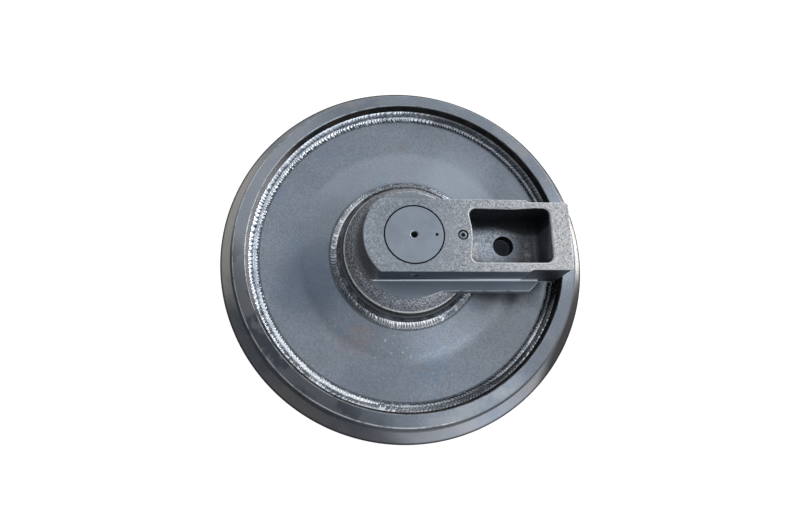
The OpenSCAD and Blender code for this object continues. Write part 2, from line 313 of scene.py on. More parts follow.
class Wire:
    """A shader socket that can stand in a sum: each operator adds one Math node."""

    def __init__(self, tree, socket):
        self.tree, self.socket = tree, socket

    def sum(self, operation, first, second=0.0):
        maths = self.tree.nodes.new("ShaderNodeMath")
        maths.operation = operation
        for slot, value in zip(maths.inputs, (first, second)):
            feed(self.tree, slot, value)
        return Wire(self.tree, maths.outputs[0])

    def __add__(self, other): return self.sum("ADD", self, other)
    def __radd__(self, other): return self.sum("ADD", other, self)
    def __sub__(self, other): return self.sum("SUBTRACT", self, other)
    def __rsub__(self, other): return self.sum("SUBTRACT", other, self)
    def __mul__(self, other): return self.sum("MULTIPLY", self, other)
    def __rmul__(self, other): return self.sum("MULTIPLY", other, self)
    def __truediv__(self, other): return self.sum("DIVIDE", self, other)
    def __rtruediv__(self, other): return self.sum("DIVIDE", other, self)
    def __pow__(self, other): return self.sum("POWER", self, other)
    def __abs__(self): return self.sum("ABSOLUTE", self)


def feed(tree, slot, value):
    if isinstance(value, Wire):
        tree.links.new(value.socket, slot)
    else:
        slot.default_value = value


class Nodes:
    """A node tree, with one method that adds any node to it."""

    def __init__(self, tree):
        self.tree = tree

    def node(self, kind, settings=None, out=0, **values):
        """A node of a kind: its settings first, then its sockets by name, or by number as i0 and i1."""
        made = self.tree.nodes.new("ShaderNode" + kind)
        for key, value in (settings or {}).items():
            setattr(made, key, value)
        for key, value in values.items():
            feed(self.tree, made.inputs[int(key[1:]) if key[1:].isdigit() else key], value)
        return Wire(self.tree, made.outputs[out])

    def axes(self, place):
        """The three parts of a place."""
        split = self.node("SeparateXYZ", i0=place)
        return [Wire(self.tree, socket) for socket in split.socket.node.outputs]

    def ramp(self, value, low, high, start=0.0, end=1.0):
        """A soft step of a value from low to high."""
        return self.node("MapRange", {"interpolation_type": "SMOOTHSTEP"},
                         i0=value, i1=low, i2=high, i3=start, i4=end)

    def blend(self, amount, first, second):
        return self.node("Mix", {"data_type": "RGBA"}, out=2, i0=amount, i6=first, i7=second)


class Finish(Nodes):
    """A material with one shader, whose colour is laid on in coats."""

    def __init__(self, name):
        self.material = bpy.data.materials.new(name)
        self.material.use_nodes = True
        super().__init__(self.material.node_tree)
        self.shader = self.tree.nodes["Principled BSDF"]
        self.place = self.node("TexCoord", out="Object")
        self.x, self.y, self.z = self.axes(self.place)
        self.height = abs(self.z)
        self.radius = (self.x * self.x + self.y * self.y) ** 0.5
        self.colour = None

    def noise(self, scale, detail=3.0, rough=0.55):
        return self.node("TexNoise", Vector=self.place, Scale=scale, Detail=detail, Roughness=rough)

    def patches(self, scale, low, high, detail=3.0, rough=0.55):
        """Soft patches of noise: nought below low, one above high."""
        return self.ramp(self.noise(scale, detail, rough), low, high)

    def tool_marks(self, value):
        """Fine rings that a turning tool leaves."""
        return self.node("TexNoise", {"noise_dimensions": "1D"}, W=value, Scale=1.0, Detail=2.0)

    def fall(self, value, low, high):
        """One before low, nought past high."""
        return 1 - self.ramp(value, low, high)

    def between(self, value, middle, half, soft):
        """One inside a band around a middle value, nought outside."""
        return self.fall(abs(value - middle), half, half + soft)

    def near(self, point, inner, outer, ragged=0.0):
        """One close to a point, falling to nought further off."""
        gap = self.node("VectorMath", {"operation": "DISTANCE"}, out="Value", i0=self.place, i1=point)
        return self.fall(gap + ragged, inner, outer)

    def toward(self, direction, start, end):
        """Nought before start and one past end, going out from the wheel's axis in a flat direction."""
        return self.ramp(self.x * direction[0] + self.y * direction[1], start, end)

    def across(self):
        """How far a point lies across the arm's line, alike on the upper and the lower side."""
        return self.y * self.z / self.height

    def from_axis(self, x):
        """The distance from an upright axis on the arm's line."""
        return ((self.x - x) * (self.x - x) + self.y * self.y) ** 0.5

    def coat(self, amount, shade):
        """Lay a tone over the colour so far."""
        self.colour = self.blend(amount, self.colour, shade)

    def put(self, **values):
        for key, value in values.items():
            feed(self.tree, self.shader.inputs[key.replace("_", " ")], value)

    def bump(self, depth, distance, strength):
        self.put(Normal=self.node("Bump", Strength=strength, Distance=distance, Height=depth))


def tone(red, green, blue):
    """A colour given as it looks on a screen, from 0 to 255."""
    return tuple((c / 255 / 12.92 if c < 10.3 else ((c / 255 + 0.055) / 1.055) ** 2.4)
                 for c in (red, green, blue)) + (1.0,)


# Materials

PAINT_DARK = tone(86, 94, 104)
PAINT_LIGHT = tone(150, 158, 168)
DUST = tone(146, 145, 145)
RUST = tone(96, 84, 72)
GRIME_AND_SHADE = tone(38, 40, 44)
GAP = tone(8, 9, 10)

# A flat direction out from the axis, away from the arm
LEFT = (-0.99, 0.139)


def wheel_paint():
    """Paint over turned steel: fine rings, dark handling marks on one side, painted highlights and painted
    shade on its edges, painted light and shade on its face, flank and bore.
    """
    f = Finish("wheel_paint")
    lathe = f.tool_marks((f.radius + f.height * 0.7) * 900.0)
    grain = f.noise(330.0, 2.0)
    cloud = f.noise(14.0, 4.0)
    lower_left = f.toward((-0.77, -0.64), 0.170, 0.232)
    blotch = f.patches(34.0, 0.47, 0.56, 4.0, 0.5) * lower_left
    face = f.between(f.height, 0.0800, 0.0022, 0.0008)
    f.colour = f.blend(f.ramp(cloud, 0.3, 0.7), tone(105, 113, 123), tone(124, 132, 142))
    f.coat(f.ramp(grain, 0.35, 0.65) * 0.35, tone(92, 99, 109))
    f.coat(f.patches(22.0, 0.5, 0.7) * 0.4, DUST)
    # Painted light on the face towards the left, and painted shade on it towards the lower left
    f.coat(face * f.toward(LEFT, 0.13, 0.22) * 0.6, tone(150, 154, 162))
    f.coat(face * lower_left * 0.5, tone(88, 85, 86))
    f.coat(blotch * face * 0.7, tone(50, 58, 72))
    f.coat(blotch * (1 - face) * 0.35, tone(70, 66, 62))

    # Flank of the flange: patches of dust, then painted highlights, a painted reflection and painted shade by
    # direction
    flank = f.fall(f.height, 0.0455, 0.0470) * f.fall(f.radius, 0.2786, 0.2796)
    f.coat(flank * f.ramp(cloud, 0.35, 0.6) * 0.6, tone(138, 133, 130))
    # Painted light and shade on the flank: lighter on the left and at the right, bluer below, darker towards
    # the lower right and the lower left
    for direction, start, end, amount, shade in (
            ((-0.985, 0.17), 0.235, 0.265, 0.36, tone(180, 172, 160)),
            ((0.2, -0.98), 0.225, 0.262, 0.4, tone(116, 126, 140)),
            ((0.995, 0.1), 0.262, 0.272, 0.3, tone(190, 178, 162)),
            ((0.906, -0.423), 0.254, 0.270, 0.9, tone(48, 45, 43)),
            ((-0.643, -0.766), 0.205, 0.236, 0.6, tone(62, 62, 66))):
        f.coat(flank * f.toward(direction, start, end) * amount, shade)

    # Edges: painted highlights on the face's edges, painted shade on the chamfer, the lip and the crest
    inner_edge = f.between(f.radius, 0.2380, 0.0005, 0.0003) * f.ramp(f.height, 0.0804, 0.0810) * 0.75
    outer_edge = (f.between(f.height, 0.0771, 0.0004, 0.0004)
                  * f.between(f.radius, FACE_OUT_R * MM, 0.001, 0.001))
    crest = f.ramp(f.radius, 0.2778, 0.2786) * f.between(f.height, 0.0410, 0.0014, 0.0006)
    side = f.toward((-0.9, -0.3), 0.0, 0.15) + f.toward((-0.2, -0.98), 0.215, 0.245)
    # Painted highlights along the face's inner edge and, towards the lower left, its outer edge
    painted_edge_highlight = (inner_edge + outer_edge * side) * f.patches(60.0, 0.3, 0.55)
    # Painted shade on the chamfer towards the right
    chamfer = f.between(f.radius, 0.2590, 0.0016, 0.0006) * f.between(f.height, 0.0733, 0.0036, 0.0005)
    f.coat(chamfer * f.toward((0.8, -0.2), 0.0, 0.14) * 0.7, tone(46, 48, 52))
    # Painted shade: a dark line on the lip and the crest of the flange
    lip = f.ramp(f.radius, 0.2766, 0.2778) * f.fall(f.radius, 0.2790, 0.2796)
    f.coat(lip * 0.6, tone(40, 38, 38))
    f.coat(crest * 0.8, GRIME_AND_SHADE)
    f.coat(painted_edge_highlight * 0.75, tone(196, 200, 204))

    # Bore: dark scale and painted shade, with painted light on the left
    bore = f.fall(f.radius, 0.2369, 0.2371)
    scale = f.blend(f.patches(50.0, 0.4, 0.65), tone(24, 24, 26), tone(66, 54, 44))
    f.coat(bore * 0.92, f.blend(f.toward(LEFT, 0.185, 0.222), scale, tone(172, 168, 167)))
    f.put(Base_Color=f.colour, Roughness=0.24 + lathe * 0.05 + blotch * 0.1 + bore * 0.3, Metallic=0.75)
    f.bump(lathe * 0.7 + grain * 0.3, 0.00006, 0.5)
    return f.material


def disc_paint():
    """Paint over pressed plate: faint clouds and streaks, a few scuffs and stains, a painted shadow of the
    arm, patches of painted shade and painted light, a soft crease.
    """
    f = Finish("disc_paint")
    cloud = f.noise(9.0, 4.0)
    speck = f.noise(420.0, 3.0, 0.6)
    across = f.across()
    f.colour = f.blend(f.ramp(cloud, 0.25, 0.75), tone(117, 125, 135), tone(138, 146, 157))
    f.coat(f.ramp(speck, 0.35, 0.65) * 0.55, tone(96, 104, 114))
    f.coat(f.patches(16.0, 0.55, 0.7) * 0.35, tone(100, 122, 146))
    f.coat(f.patches(21.0, 0.58, 0.72) * 0.3, tone(126, 116, 110))
    scuff = f.patches(170.0, 0.6, 0.68, 4.0, 0.7) * f.patches(15.0, 0.58, 0.66, 2.0)
    f.coat(scuff * 0.6, tone(168, 174, 182))

    # Painted shadow of the arm, painted shade and painted light, then stains and knocks
    # Painted shadow of the arm: a dark band below it, with ragged edges
    ragged = (f.noise(30.0, 4.0, 0.6) - 0.5) * 0.05
    painted_arm_shadow = f.between(across + ragged, -0.050, 0.012, 0.036) * f.between(f.x + ragged, 0.152, 0.026, 0.055)
    f.coat(painted_arm_shadow * 0.58, tone(44, 42, 43))
    # Painted shade beside the arm's shadow, partly brownish staining
    f.coat(f.near((0.150, -0.115, 0.058), 0.02, 0.10) * 0.3, tone(96, 91, 90))
    # Painted light on the far side of the raised middle
    raised = f.ramp(f.radius, 0.172, 0.160) * f.ramp(across, 0.05, 0.12)
    f.coat(raised * 0.3, tone(160, 168, 178))
    # Painted shade, bluish, on the left of the middle
    patch = f.near((-0.138, -0.042, 0.060), 0.015, 0.085, (f.noise(30.0, 3.0) - 0.5) * 0.05)
    f.coat(patch * 0.6, tone(76, 90, 108))
    # Painted light on the far side towards the arm
    f.coat(f.near((0.078, 0.122, 0.060), 0.015, 0.070) * 0.4, tone(160, 172, 183))
    earth = f.near((-0.078, -0.120, 0.060), 0.006, 0.045) * f.patches(60.0, 0.35, 0.6)
    f.coat(earth * 0.45, tone(136, 116, 114))
    knocks = f.near((-0.030, -0.150, 0.058), 0.02, 0.055) * f.patches(190.0, 0.645, 0.70, 3.0, 0.6)
    f.coat(knocks * 0.7, tone(196, 200, 206))

    # Grime along the toes of the welds
    toe = f.between(f.radius, 0.1160, 0.001, 0.0020) * (1 - f.ramp(across, 0.05, 0.10) * 0.8)
    toe = toe + f.between(f.radius, 0.2210, 0.0006, 0.0012)
    f.coat(toe * 0.6, GRIME_AND_SHADE)
    f.put(Base_Color=f.colour, Roughness=0.24 + cloud * 0.08 + scuff * 0.1, Metallic=0.8)
    crown = f.fall(f.radius, 0.150, 0.182) * (CREASE_R * MM - f.radius)
    f.bump(crown * 115.0 + speck * 0.2 + f.noise(40.0, 2.0) * 0.3, 0.001, 1.0)
    return f.material


def weld_paint():
    """Glossy paint over a weld, with dark scale in its toes, and lengths of painted shade and painted
    highlight.
    """
    f = Finish("weld_paint")
    patch = f.noise(60.0, 3.0)
    spatter = f.noise(700.0, 2.0)
    f.colour = f.blend(f.ramp(patch, 0.3, 0.7), tone(162, 171, 182), tone(206, 212, 220))
    f.coat(f.ramp(spatter, 0.54, 0.66) * 0.4, tone(60, 63, 68))
    toes = f.between(f.radius, 0.2225, 0.0010, 0.0012) + f.between(f.radius, 0.1065, 0.0008, 0.0012)
    f.coat(toes * f.patches(240.0, 0.42, 0.55, 2.0) * 0.85, tone(34, 33, 34))
    # Painted shade on lengths of the rim weld on the arm's side
    f.coat(f.toward((0.848, 0.53), 0.130, 0.175) * 0.65, tone(58, 60, 64))
    f.coat(f.toward((0.978, -0.208), 0.205, 0.221) * 0.85, tone(34, 36, 40))
    f.coat(f.toward((0.5, -0.866), 0.205, 0.222) * 0.6, tone(66, 66, 69))

    # The sine of three times the angle: thirds of the hub weld in painted shade and painted highlight
    inner = f.fall(f.radius, 0.125, 0.135)
    sine = f.y / f.radius
    thirds = sine * (3.0 - sine * sine * 4.0)
    f.coat(inner * f.ramp(thirds, 0.3, -0.7) * 0.6, tone(58, 60, 64))
    # Painted highlights on the hub weld's bright thirds and on lengths of the rim weld
    bright = inner * f.ramp(thirds, 0.0, 0.8) + f.toward((0.857, -0.515), 0.2250, 0.2290)
    bright = bright + f.toward((-0.5, -0.866), 0.170, 0.222) * 0.7
    bright = bright + f.toward((0.1, -0.995), 0.2215, 0.2285) * 0.5
    f.coat(bright * 0.6, tone(244, 246, 249))
    f.put(Base_Color=f.colour, Roughness=0.17 + patch * 0.1, Metallic=0.94)
    f.bump(spatter * 0.3 + f.noise(180.0, 2.0), 0.0003, 0.7)
    return f.material


def casting_paint():
    """Paint over rough cast steel, smooth where the support is machined, with painted highlights along its
    edges and painted light and shade on its faces, walls, pocket and gaps.
    """
    f = Finish("casting_paint")
    grain = f.noise(430.0, 3.0, 0.65)
    lump = f.noise(120.0, 3.0, 0.6)
    pit = f.node("TexVoronoi", {"feature": "SMOOTH_F1"}, Vector=f.place, Scale=310.0, Smoothness=0.4)
    across, width = f.across(), abs(f.y)
    below = f.fall(f.height, 0.1590, 0.1600)

    # Cast skin, smoother on the machined faces and around the shaft
    ledge = f.between(f.height, 0.1133, 0.0004, 0.0003)
    sides = f.between(width, BLOCK_HALF * MM, 0.0002, 0.0003) * f.ramp(f.height, 0.1136, 0.1142)
    ledge_sides = f.between(width, LEDGE_HALF * MM, 0.0002, 0.0003)
    machined = f.node("Math", {"operation": "MAXIMUM"}, i0=ledge, i1=sides + ledge_sides)
    near_shaft = f.ramp(f.height, 0.1612, 0.1616) * f.fall(f.radius, 0.050, 0.078)
    rough = (1 - machined * 0.9) * (1 - near_shaft * 0.5)
    f.colour = f.blend(f.patches(11.0, 0.3, 0.7), tone(114, 122, 132), tone(132, 140, 150))
    # Painted light: the face lighter towards the arm's end
    f.coat(f.ramp(f.x, -0.02, 0.2) * f.ramp(f.height, 0.1585, 0.1600) * 0.8, tone(173, 172, 173))
    f.coat(f.ramp(grain, 0.50, 0.32) * rough * 0.7, tone(62, 68, 76))
    f.coat(f.ramp(grain, 0.50, 0.68) * rough * 0.6, tone(204, 208, 213))

    # Round boss: painted light on the near side, rust, and coarser grain
    low = f.fall(f.height, 0.1095, 0.1120) * f.fall(f.radius, 0.101, 0.104)
    painted_light_near = f.ramp(f.y * f.z * -1.0, 0.002, 0.008)
    f.coat(low * 0.8, f.blend(painted_light_near, tone(116, 116, 118), tone(148, 152, 163)))
    f.coat(low * f.patches(26.0, 0.5, 0.7) * 0.2, RUST)
    f.coat(low * f.ramp(grain, 0.54, 0.36) * 0.8, tone(48, 50, 56))
    f.coat(low * f.ramp(grain, 0.54, 0.66) * 0.6, tone(236, 238, 242))

    # Block's end, ledges and side walls: painted shade, and a painted highlight at the walls' foot
    # Painted shade, brownish, on the block's round end
    end = f.ramp(f.x * -1.0, 0.045, 0.06) * below * f.ramp(f.height, 0.108, 0.118)
    f.coat(end * 0.6, tone(72, 64, 56))
    # Painted shade on the near ledge, lighter on the far one
    far_side = f.ramp(across, 0.0, 0.02)
    f.coat(ledge * 0.55, f.blend(far_side, tone(86, 99, 112), tone(126, 132, 140)))
    # Painted shade on the ledges' sides
    f.coat(ledge_sides * f.ramp(f.x, 0.058, 0.066) * 0.85, tone(46, 52, 62))
    # Painted shade on the side walls, darkest on the arm
    wall = f.ramp(f.height, 0.1140, 0.1146) + f.ramp(f.x, 0.1845, 0.1855) * f.ramp(f.height, 0.1140, 0.1134)
    wall = wall * f.ramp(width, 0.0450, 0.0456) * f.fall(f.x, 0.2180, 0.2190)
    wall = wall * f.ramp(f.x, -0.050, -0.046) * below
    f.coat(wall * 0.9, f.blend(f.ramp(f.x, 0.156, 0.164), tone(57, 69, 87), tone(36, 43, 52)))
    # Painted highlight along the walls' foot
    foot = f.between(f.height, 0.1146, 0.0011, 0.0004) * f.between(width, 0.0530, 0.0010, 0.0004)
    f.coat(foot * f.ramp(f.x, -0.060, -0.054) * 0.95, tone(228, 234, 242))

    # Pocket: light floor on the left, painted shade on the near side, the far wall and the right end, painted
    # highlights on the floor and near the right end
    hollow = f.between(f.x, 0.1345, 0.0575, 0.0005) * f.fall(width, 0.0405, 0.0410) * below
    far_wall = f.ramp(across, 0.014, 0.034)
    deep = f.node("Math", {"operation": "MINIMUM"}, i0=far_wall + f.ramp(f.x, 0.128, 0.172) * 0.8, i1=0.95)
    f.coat(hollow * 0.8, f.blend(f.patches(70.0, 0.35, 0.6), tone(156, 168, 186), tone(186, 198, 214)))
    f.coat(hollow * f.ramp(grain, 0.50, 0.64) * 0.5, tone(226, 226, 228))
    f.coat(hollow * f.ramp(grain, 0.49, 0.36) * 0.55, tone(66, 70, 78))
    # Painted shade towards the pocket's near side
    f.coat(hollow * f.ramp(across, -0.006, -0.032) * 0.72, tone(96, 95, 97))
    # Painted highlight, uneven, on the pocket's left part
    light = f.between(f.x, 0.0925, 0.0035, 0.007) * f.between(across, -0.008, 0.009, 0.008)
    uneven = f.patches(130.0, 0.36, 0.62, 3.0, 0.6)
    f.coat(hollow * light * uneven * 0.75, tone(240, 230, 218))
    # Painted shade on the pocket's far wall and right end
    f.coat(hollow * deep, tone(16, 18, 21))
    # Painted highlight, warm, near the pocket's right end
    painted_pocket_highlight = f.between(f.x, 0.1740, 0.0005, 0.0075) * f.between(across, -0.010, 0.004, 0.016)
    f.coat(hollow * painted_pocket_highlight * uneven * 0.75, tone(178, 172, 164))

    # Painted shade, near black, in the gaps around the shaft and the plug, and in the bolt hole
    from_plug = f.from_axis(PLUG_X * MM)
    gaps = f.between(from_plug, 0.0062, 0.0010, 0.0003) + f.fall(f.radius, 0.0420, 0.0424)
    f.coat(gaps * 0.95, GAP)
    bolt = f.fall(f.from_axis(BOLT_X * MM), 0.0150, 0.0155) * below
    f.coat(bolt * 0.98, tone(6, 6, 7))

    # Painted highlights on the edges of the face, the ledges and the boss, painted shade on the step behind
    # the boss and under the arm
    hidden = f.ramp(across, 0.0485, 0.0505) * f.ramp(f.x, 0.060, 0.030)
    outside = f.ramp(f.radius, 0.0430, 0.0436) * f.ramp(from_plug, 0.0074, 0.0078)
    ledge_edge = f.between(f.height, 0.1127, 0.0005, 0.0002) * f.ramp(f.x, 0.012, 0.030)
    ledge_edge = ledge_edge * f.ramp(width, 0.0545, 0.0560)
    # Painted highlights along the edges, left off the far edge
    edges = f.between(f.height, 0.1611, 0.0005, 0.0003) * (1 - hidden) * outside + ledge_edge
    f.coat(edges * f.patches(90.0, 0.3, 0.5) * 0.65, tone(206, 210, 214))
    # Painted highlight on the boss's edge
    crown = f.between(f.height, 0.0875, 0.0026, 0.0010) * f.ramp(f.radius, 0.0928, 0.0934)
    f.coat(crown * f.patches(300.0, 0.30, 0.46, 2.0) * 0.9, tone(240, 242, 245))
    flange = f.fall(f.height, 0.0762, 0.0768) * f.ramp(f.radius, 0.0960, 0.0966)
    f.coat(flange * 0.9, tone(92, 100, 110))
    # Painted shade on the step behind the boss, less on the far side
    step = f.between(f.height, 0.0796, 0.0042, 0.0008) * f.ramp(f.radius, 0.0930, 0.0936)
    step = step * f.fall(f.radius, 0.102, 0.103)
    f.coat(step * (0.95 - f.ramp(across, 0.06, 0.09) * 0.7), tone(20, 20, 21))
    # Painted shade under the arm, which also darkens the view through the bolt hole
    under = f.fall(f.height, 0.0855, 0.0885) * f.ramp(f.x, 0.104, 0.112)
    f.coat(under * 0.95, tone(16, 16, 17))

    dull = 0.42 + rough * 0.1 - grain * 0.1 - wall * 0.08 + hollow * far_wall * 0.35
    metal = 0.5 - low * 0.35 - hollow * 0.3 + gaps * 0.5 + wall * 0.42
    metal = metal + hollow * far_wall * 0.7 + bolt * 0.8
    f.put(Base_Color=f.colour, Roughness=dull, Metallic=metal)
    f.bump((grain * 0.55 + lump * 0.3 + pit * 0.25) * rough, 0.0012, 0.75)
    return f.material


def shaft_paint():
    """Paint over a turned shaft end, with painted shade, black, in its edge and its holes."""
    f = Finish("shaft_paint")
    rings = f.tool_marks(f.radius * 1400.0)
    cloud = f.noise(34.0, 3.0)
    speck = f.noise(500.0, 2.0)
    f.colour = f.blend(f.ramp(cloud, 0.3, 0.7), tone(120, 128, 139), tone(134, 143, 155))
    f.coat(f.ramp(speck, 0.4, 0.7) * 0.3, tone(142, 150, 160))
    # Painted shade in the gap at the shaft's edge
    edge = f.ramp(f.radius, 0.0399, 0.0403)
    f.coat(edge * 0.97, GAP)
    f.coat(f.between(f.radius, 0.0053, 0.0008, 0.0003) * 0.7, tone(170, 176, 182))
    # Painted shade in the oil bore and the index hole
    holes = f.fall(f.radius, 0.0043, 0.0047) * f.fall(f.height, 0.1606, 0.1610)
    holes = holes + f.fall(f.from_axis(INDEX_X * MM), 0.0019, 0.0024)
    f.coat(holes * 0.95, tone(14, 15, 17))
    f.put(Base_Color=f.colour, Roughness=0.34 + cloud * 0.1, Metallic=0.75 + edge * 0.25)
    f.bump(rings * 0.5 + speck * 0.5, 0.0001, 0.5)
    return f.material


def hub_paint():
    """Thin paint over a turned hub, with grease and dust in the gap."""
    f = Finish("hub_paint")
    cloud = f.noise(70.0, 3.0)
    f.put(Base_Color=f.blend(f.ramp(cloud, 0.35, 0.65), PAINT_DARK, GRIME_AND_SHADE),
          Roughness=0.45 + cloud * 0.2, Metallic=0.3)
    f.bump(f.noise(400.0, 2.0), 0.0002, 0.5)
    return f.material


def pin_steel():
    """Hardened steel of the pins and plugs, under a thin coat, with painted shade in the face plugs' sockets.
    """
    f = Finish("pin_steel")
    cloud = f.noise(180.0, 3.0)
    f.colour = f.blend(f.ramp(cloud, 0.3, 0.7), PAINT_DARK, PAINT_LIGHT)
    # Painted shade in the face plug's socket
    socket = f.between(f.height, 0.1584, 0.0022, 0.0004) * f.fall(abs(f.x - PLUG_X * MM), 0.0042, 0.0046)
    f.coat(socket * 0.9, tone(16, 17, 19))
    f.put(Base_Color=f.colour, Roughness=0.32 + cloud * 0.15, Metallic=0.5)
    f.bump(f.noise(900.0, 2.0), 0.0001, 0.5)
    return f.material


def bush_bronze():
    """Turned bronze with an oil film."""
    f = Finish("bush_bronze")
    f.put(Base_Color=f.blend(f.noise(50.0), tone(176, 128, 66), tone(206, 160, 92)),
          Roughness=0.22 + f.tool_marks(f.height * 1600.0) * 0.15, Metallic=1.0)
    return f.material


def seal_iron():
    """Cast iron rings with lapped faces."""
    f = Finish("seal_iron")
    speck = f.noise(300.0)
    f.put(Base_Color=f.blend(speck, tone(92, 92, 94), tone(140, 140, 142)),
          Roughness=0.2 + speck * 0.25, Metallic=1.0)
    return f.material


def seal_rubber():
    """Black rubber with a faint bloom."""
    f = Finish("seal_rubber")
    bloom = f.noise(90.0)
    f.put(Base_Color=f.blend(bloom, tone(22, 22, 23), tone(44, 44, 46)), Roughness=0.5 + bloom * 0.2)
    f.bump(f.noise(800.0), 0.0001, 0.5)
    return f.material


# Wheel

def make_rim():
    half = [(FLANGE_R, FLANGE_HALF), (TREAD_R + 1.2, FLANK_END), (TREAD_R, FLANK_END + 2.0),
            (TREAD_R, TREAD_END), (FACE_OUT_R, FACE_OUT_Z), (RIM_BORE_R + 1.4, RIM_HALF),
            (RIM_BORE_R + 0.2, RIM_HALF - 1.2), (RIM_BORE_R - 2.6, RIM_HALF - 13),
            (RIM_BORE_R, RIM_HALF - 20)]
    rounds = [1.6, 2.6, 2.6, 1.2, 1.4, 0.9, 0.9, 2, 0]
    lower = [(r, -z) for r, z in reversed(half)]
    rim = turned("wheel_rim", soften(half + lower, rounds + rounds[::-1], 3), steps=288)
    smooth(rim)
    return rim


def disc_top_z(r):
    """The height of the upper disc's face at a radius: flat outside the crease, dished up inside it."""
    return DISC_Z + DISH * max(0.0, CREASE_R - r) / (CREASE_R - HUB_R)


def make_disc():
    inner, outer = HUB_R + 0.1, RIM_BORE_R - 0.1
    face = [(outer, DISC_Z), (CREASE_R, DISC_Z), (inner, disc_top_z(inner))]
    back = [(r, z - DISC_T) for r, z in reversed(face)]
    rounds = [0, CREASE_ROUND, 0.4, 0.4, CREASE_ROUND, 0]
    disc = turned("side_disc_top", soften(face + back, rounds, 8), steps=256)
    smooth(disc)
    return disc


def weld_bead(name, toe, waist, wall, bulge, pitch, steps, two_runs, lumps, seed):
    """A fillet weld from its toe on the disc over its waist to its toe on the wall, laid in ripples.

    Inside the span of two_runs it lies in two runs that meet at the waist. Each of the lumps has an
    angle, a height and a spread.
    """
    toe, waist, wall = Vector(toe), Vector(waist), Vector(wall)
    rows, half = WELD_ROWS, WELD_ROWS // 2
    skin = [toe.lerp(waist, i / half) if i < half else waist.lerp(wall, (i - half) / half)
            for i in range(rows + 1)]
    bead = turned(name, [tuple(p) for p in skin] + [(wall.x, disc_top_z(wall.x) + WELD_LIFT)], steps=steps)
    middle = waist.x
    for vertex in bead.data.vertices:
        x, y, z = (c / MM for c in vertex.co)
        r, a = math.hypot(x, y), math.atan2(y, x)
        row = min(range(rows + 1), key=lambda i: (skin[i] - Vector((r, z))).length_squared)
        if (skin[row] - Vector((r, z))).length > 0.05:
            continue
        t, inner = row / rows, row < half
        u = (row % half) / half if row < rows else 1.0
        along = ((waist - toe) if inner else (wall - waist)).normalized()
        out = Vector((along.y, -along.x)) if along.x < 0 else Vector((-along.y, along.x))
        ring = Vector((math.cos(a), math.sin(a), 0))
        # Slow and fine unevenness along the bead, and how far it lies in two runs here
        wave = noise.noise(ring * 9 + Vector((0, 0, seed)))
        fine = noise.noise(ring * 55 + Vector((0, 0, seed + 3)))
        apart = run_share(math.degrees(a) % 360, two_runs)
        single, double = 4 * t * (1 - t), 4 * u * (1 - u)
        # Ripples: each climbs slowly and drops fast, and bows across its run
        step = a * middle / (pitch if inner else pitch * (1 + 0.3 * apart)) + 1.4 * wave
        step += (1 - apart) * 2.0 * (t - 0.5) ** 2 + apart * 1.2 * (u - 0.5) ** 2
        step -= math.floor(step)
        crest = (step ** 0.6 if step < 0.72 else (1 - step) / 0.28 * 0.82) - 0.5
        strength = 2.4 if inner else 2.2 - 0.9 * apart
        shape = single * (1 - apart) + double * apart
        rise = bulge * (1.5 - 0.5 * apart) + strength * crest * (0.8 + 0.5 * fine) + 0.3 * fine
        push = shape * rise + 0.5 * wave * single
        # The toe swings to and fro, and lumps stand out where a run ended
        swing = (1 - t) ** 2 * (1.2 * crest + 1.3 * fine + 0.5 * wave)
        for at, size, spread in lumps:
            gap = math.remainder(a - math.radians(at), 2 * math.pi) * middle / spread
            push += single * size * math.exp(-gap * gap)
            swing += (1 - t) * size * math.exp(-gap * gap)
        moved = Vector((r, z)) + out * push - along * swing
        height = max(moved.y, disc_top_z(moved.x) + WELD_LIFT)
        vertex.co = (moved.x * math.cos(a) * MM, moved.x * math.sin(a) * MM, height * MM)
    smooth(bead, 60)
    return bead


def run_share(angle, span):
    """How far the weld lies in two runs at an angle: one inside the span, fading to nought at its ends."""
    start, end = span
    past, left = (angle - start) % 360, (end - angle) % 360
    inside = min(past, left) if past <= (end - start) % 360 else 0
    return min(1.0, inside / RUN_FADE)


def make_rim_weld():
    return weld_bead("rim_weld_top_bead", toe=(RIM_WELD_TOE, DISC_Z + WELD_LIFT), waist=(228.4, 61.2),
                     wall=(RIM_BORE_R - 2.5, DISC_Z + 10.0), bulge=1.0, pitch=4.9, steps=1960,
                     two_runs=(300, 259), lumps=[(-100, 1.5, 4), (-96, 0.9, 3), (142, 0.8, 6)], seed=1.7)


def make_hub_weld():
    return weld_bead("hub_weld_top_bead", toe=(HUB_WELD_TOE, disc_top_z(HUB_WELD_TOE) + WELD_LIFT),
                     waist=(110.4, 63.6), wall=(HUB_R + 0.1, HUB_END - 0.6), bulge=0.7, pitch=4.2, steps=1260,
                     two_runs=(0, 0), lumps=[(-104, 1.6, 4), (-98, 1.0, 3)], seed=5.1)


# Supports

